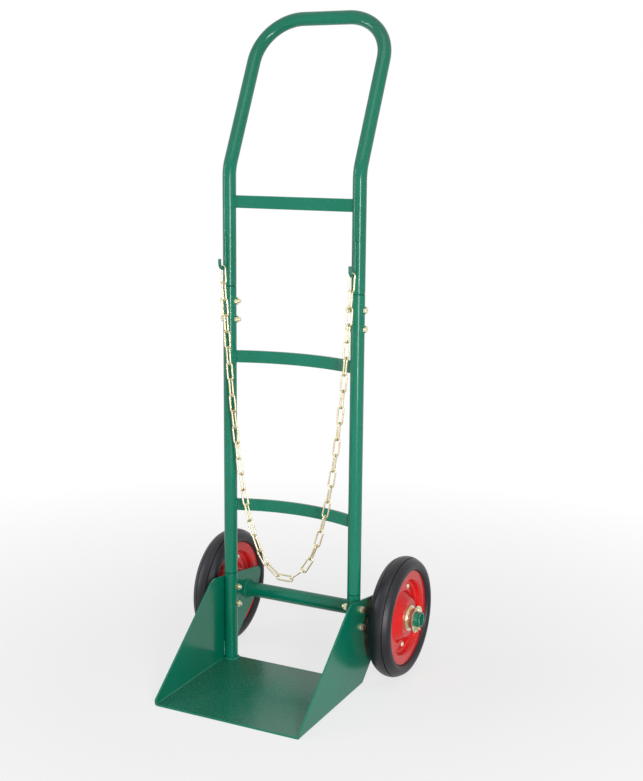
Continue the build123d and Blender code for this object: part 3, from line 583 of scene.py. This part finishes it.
# How far a bead's middle stands out of its corner, as a share of its radius.
FOOT_STANDS, COLLAR_STANDS = 0.4, 0.3
FOOT_FIRST_DEG, FOOT_LAST_DEG = -38, -246
CREVICE_DEPTH = 0.0004
BAR_BEAD_OFFSET, SADDLE_END_SHIFT, BAR_BEAD_INSET = 0.0031, 0.0025, 0.001
UP, ALONG_X, ALONG_Y = (0, 0, 1), (1, 0, 0), (0, 1, 0)
base_beads, collar_beads, bar_beads, hook_beads = [], [], [], []
SEAM_LENGTH = 0.028
seam_low = plate_top + 2 * FOOT_BEAD
hook_bead_low, hook_bead_high = (corner[2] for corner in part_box("hook_weld_beads"))
for side_name, side in SIDES.items():
    x = side * upright_x
    round_foot = tube_radius + FOOT_STANDS * FOOT_BEAD
    foot = (x, upright_y, plate_top + FOOT_STANDS * FOOT_BEAD)
    foot_path = arc_round_z(foot, round_foot, FOOT_FIRST_DEG, FOOT_LAST_DEG, side)
    foot_length = round_foot * math.radians(FOOT_FIRST_DEG - FOOT_LAST_DEG)
    base_beads.append(weld_bead(foot_path, foot_length, FOOT_BEAD, UP))
    seam_x, seam_y = side * (upright_x + tube_radius - SEAM_BEAD), upright_y - tube_radius + SEAM_BEAD
    seam = straight((seam_x, seam_y, seam_low), (seam_x, seam_y, seam_low + SEAM_LENGTH))
    base_beads.append(weld_bead(seam, SEAM_LENGTH, SEAM_BEAD, ALONG_Y))
    collar_round = collar_half[1] + COLLAR_STANDS * COLLAR_BEAD
    cheek_face = side * (collar_middle[0] + collar_half[0] - COLLAR_STANDS * COLLAR_BEAD)
    collar_path = circle_round_x((cheek_face, *collar_middle[1:]), collar_round)
    collar_length = 2 * math.pi * collar_round
    collar_beads.append(weld_bead(collar_path, collar_length, COLLAR_BEAD, ALONG_X, closed=True))
    for bar in ("handle_crossbar", "saddle_bar_upper", "saddle_bar_lower"):
        bar_middle, bar_half = middle_and_half(bar)
        bar_end_y = upright_y if bar == "handle_crossbar" else upright_y + SADDLE_END_SHIFT
        for way in (-1, 1):
            bead_x = side * (upright_x - tube_radius + CREVICE_DEPTH)
            bead_y = bar_end_y + way * BAR_BEAD_OFFSET
            low = bar_middle[2] - bar_half[2] + BAR_BEAD_INSET
            high = bar_middle[2] + bar_half[2] - BAR_BEAD_INSET
            line = straight((bead_x, bead_y, low), (bead_x, bead_y, high))
            bar_beads.append(weld_bead(line, high - low, BAR_BEAD, ALONG_Y))
    hook_middle, hook_half = middle_and_half(f"chain_hook_{side_name}")
    rod_radius = hook_half[0]
    for way in (-1, 1):
        bead_x = hook_middle[0] + way * (rod_radius + CREVICE_DEPTH)
        bead_y = upright_y - tube_radius - rod_radius / 2
        line = straight((bead_x, bead_y, hook_bead_low), (bead_x, bead_y, hook_bead_high))
        hook_beads.append(weld_bead(line, hook_bead_high - hook_bead_low, HOOK_BEAD, ALONG_Y))

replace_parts(make_piece("weld_feet", base_beads, green_enamel), "base_weld_beads")
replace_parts(make_piece("weld_collars", collar_beads, green_enamel), "collar_weld_beads")
make_piece("weld_bar_ends", bar_beads, green_enamel)
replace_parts(make_piece("weld_hooks", hook_beads, green_enamel), "hook_weld_beads")

# %% [markdown]
# The tail of each bolt stands out past its nut, and shows its thread. A thread is a ridge wound round a
# rod, so the radius depends on the distance along the bolt and on the turn round it together. The last
# turn tapers, as it does where a die starts to cut, and the end is closed.

# %% Bolt threads
THREAD_PITCH = 0.001
THREAD_ROOT, THREAD_CREST = 0.00302, 0.00325
THREAD_SIDES = 24
ROWS_A_THREAD = 10
THREAD_TIP = 0.86
TIP_LENGTH = 0.00006


def bolt_thread(start, end, y, z):
    """Radius = root + depth * triangle wave of (distance / pitch - turn), tapering to the closed tip."""
    length = abs(end - start)
    rows = max(2, round(length / THREAD_PITCH * ROWS_A_THREAD))
    along = np.linspace(0, length, rows)
    turn = np.arange(THREAD_SIDES) / THREAD_SIDES
    phase = (along[:, None] / THREAD_PITCH - turn[None, :]) % 1.0
    radii = THREAD_ROOT + (THREAD_CREST - THREAD_ROOT) * (1 - np.abs(2 * phase - 1))
    taper = np.clip((length - along) / THREAD_PITCH, 0, 1)[:, None]
    radii = radii * (THREAD_TIP + (1 - THREAD_TIP) * taper)
    x = start + along * math.copysign(1, end - start)
    tip = end + math.copysign(TIP_LENGTH, end - start)
    x, radii = np.append(x, [tip, tip]), np.vstack([radii, radii[-1:], radii[-1:] * 0])
    x, radii = np.append(x[0], x), np.vstack([radii[:1] * 0, radii])
    angle = 2 * math.pi * turn[None, :]
    points = np.stack([
        np.broadcast_to(x[:, None], radii.shape),
        y + radii * np.cos(angle),
        z + radii * np.sin(angle),
    ], -1)
    return points, False


threads = []
for joint in ("handle_joint", "base_joint"):
    bolts, nuts = node_points(f"{joint}_bolts"), node_points(f"{joint}_nuts")
    tail_x, nut_x = np.abs(bolts[:, 0]).min(), np.abs(nuts[:, 0]).min()
    nut_middle, nut_half = middle_and_half(f"{joint}_nuts")
    corner = nut_half[1] / math.cos(math.pi / 6)
    for level in (nut_middle[2] - nut_half[2] + corner, nut_middle[2] + nut_half[2] - corner):
        for side in SIDES.values():
            threads.append(bolt_thread(side * nut_x, side * tail_x, nut_middle[1], level))
make_piece("bolt_threads", threads, zinc_hardware)

# %% [markdown]
# The room is a pale studio. The floor is a pale diffuse sheet that keeps a soft shadow near the cart and
# fades to the white of the backdrop further out, so no horizon shows.

# %% Floor
FLOOR_HALF = 6.0
FLOOR_BELOW = 0.0004
FADE_FROM, FADE_TO, WHITENESS_NEAR = 0.35, 1.3, 0.72


def camera_or_gloss(tree):
    """1 for rays from the camera and for mirrored or refracted rays, 0 for the rest."""
    path = add_node(tree, "ShaderNodeLightPath").outputs
    seen = maths(tree, "MAXIMUM", path["Is Camera Ray"], path["Is Glossy Ray"])
    return maths(tree, "MAXIMUM", seen, path["Is Transmission Ray"])


floor_mesh = bpy.data.meshes.new("floor")
corners = [(x, y, -FLOOR_BELOW) for x, y in ((-1, -1), (1, -1), (1, 1), (-1, 1))]
floor_mesh.from_pydata([(x * FLOOR_HALF, y * FLOOR_HALF, z) for x, y, z in corners], [], [(0, 1, 2, 3)])
floor = bpy.data.objects.new("floor", floor_mesh)
bpy.context.scene.collection.objects.link(floor)

pale = bpy.data.materials.new("pale_floor")
pale.use_nodes = True
tree = pale.node_tree
tree.nodes.clear()
place = add_node(tree, "ShaderNodeTexCoord").outputs["Object"]
distance = add_node(tree, "ShaderNodeVectorMath", {0: place}, operation="LENGTH")
fade = ranged(tree, distance.outputs["Value"], FADE_FROM, FADE_TO, WHITENESS_NEAR, 1.0)
whiteness = maths(tree, "MULTIPLY", fade, camera_or_gloss(tree))
diffuse = add_node(tree, "ShaderNodeBsdfDiffuse", {"Color": (0.8, 0.8, 0.8, 1.0)})
white = add_node(tree, "ShaderNodeEmission", {"Color": (1.0, 1.0, 1.0, 1.0), "Strength": 1.0})
surface = add_node(tree, "ShaderNodeMixShader", {0: whiteness, 1: diffuse.outputs[0], 2: white.outputs[0]})
add_node(tree, "ShaderNodeOutputMaterial", {"Surface": surface.outputs[0]})
floor_mesh.materials.append(pale)
print("floor", 2 * FLOOR_HALF, "metres across")

# %% [markdown]
# What the camera, and any gloss surface, sees beyond the floor is plain white, while the light that falls
# on the cart stays at a plain level. A Light Path node tells the two apart.

# %% Backdrop
world = bpy.data.worlds.new("studio")
bpy.context.scene.world = world
world.use_nodes = True
tree = world.node_tree
tree.nodes.clear()
WORLD_LIGHT = 0.3
strength = ranged(tree, camera_or_gloss(tree), 0.0, 1.0, WORLD_LIGHT, 1.0)
backdrop = add_node(tree, "ShaderNodeBackground", {"Color": (1.0, 1.0, 1.0, 1.0), "Strength": strength})
add_node(tree, "ShaderNodeOutputWorld", {"Surface": backdrop.outputs[0]})
print("backdrop white, light", WORLD_LIGHT)

# %% [markdown]
# A tall narrow soft box beside the camera draws the upright streak of light that round gloss tube always
# shows. A second one does the same from the left and opens the shadows there. Both aim at the lower part
# of the cart, where most of its metal is. A third, broad one lights the toe plate softly from above.

# %% Lamps
def soft_box(name, place, target, size, watts):
    """A rectangular area lamp at a place, turned to face a target."""
    data = bpy.data.lights.new(name, "AREA")
    data.shape = "RECTANGLE"
    data.size, data.size_y = size
    data.energy = watts
    lamp = bpy.data.objects.new(name, data)
    lamp.location = place
    lamp.rotation_euler = (Vector(target) - Vector(place)).to_track_quat("-Z", "Y").to_euler()
    bpy.context.scene.collection.objects.link(lamp)


shin = (0.0, 0.0, 0.25)
soft_box("key_box", (1.3, -1.6, 0.55), shin, (0.2, 1.0), 27.0)
soft_box("fill_box", (-2.1, -1.1, 0.9), shin, (0.14, 1.6), 13.0)
soft_box("top_box", (0.5, -0.9, 2.5), (0.0, -0.1, 0.2), (1.2, 1.2), 7.0)
print("three lamps")

# %% [markdown]
# The camera stands in front and to the right, a little above the knees of the handle, with a long lens,
# so that the uprights stay nearly parallel. Its direction is given as a turn, a tilt and a slight roll.

# %% Camera
CAMERA_PLACE = (0.9443, -1.7872, 0.8877)
CAMERA_TURN, CAMERA_TILT, CAMERA_ROLL = (math.radians(v) for v in (26.264, 11.137, 0.535))
LENS_MM, SENSOR_MM = 71.54, 36.0

forward = Vector((
    -math.sin(CAMERA_TURN) * math.cos(CAMERA_TILT),
    math.cos(CAMERA_TURN) * math.cos(CAMERA_TILT),
    -math.sin(CAMERA_TILT),
))
level_right = Vector((math.cos(CAMERA_TURN), math.sin(CAMERA_TURN), 0.0))
right = level_right * math.cos(CAMERA_ROLL) + level_right.cross(forward) * math.sin(CAMERA_ROLL)
camera_up = right.cross(forward)
lens = bpy.data.cameras.new("camera")
lens.sensor_fit = "HORIZONTAL"
lens.sensor_width, lens.lens = SENSOR_MM, LENS_MM
camera = bpy.data.objects.new("camera", lens)
facing = Matrix((right, camera_up, -forward)).transposed().to_4x4()
camera.matrix_world = Matrix.Translation(CAMERA_PLACE) @ facing
bpy.context.scene.collection.objects.link(camera)
bpy.context.scene.camera = camera
bpy.context.scene.view_settings.view_transform = "Standard"
print("camera", [round(v, 3) for v in camera.location])
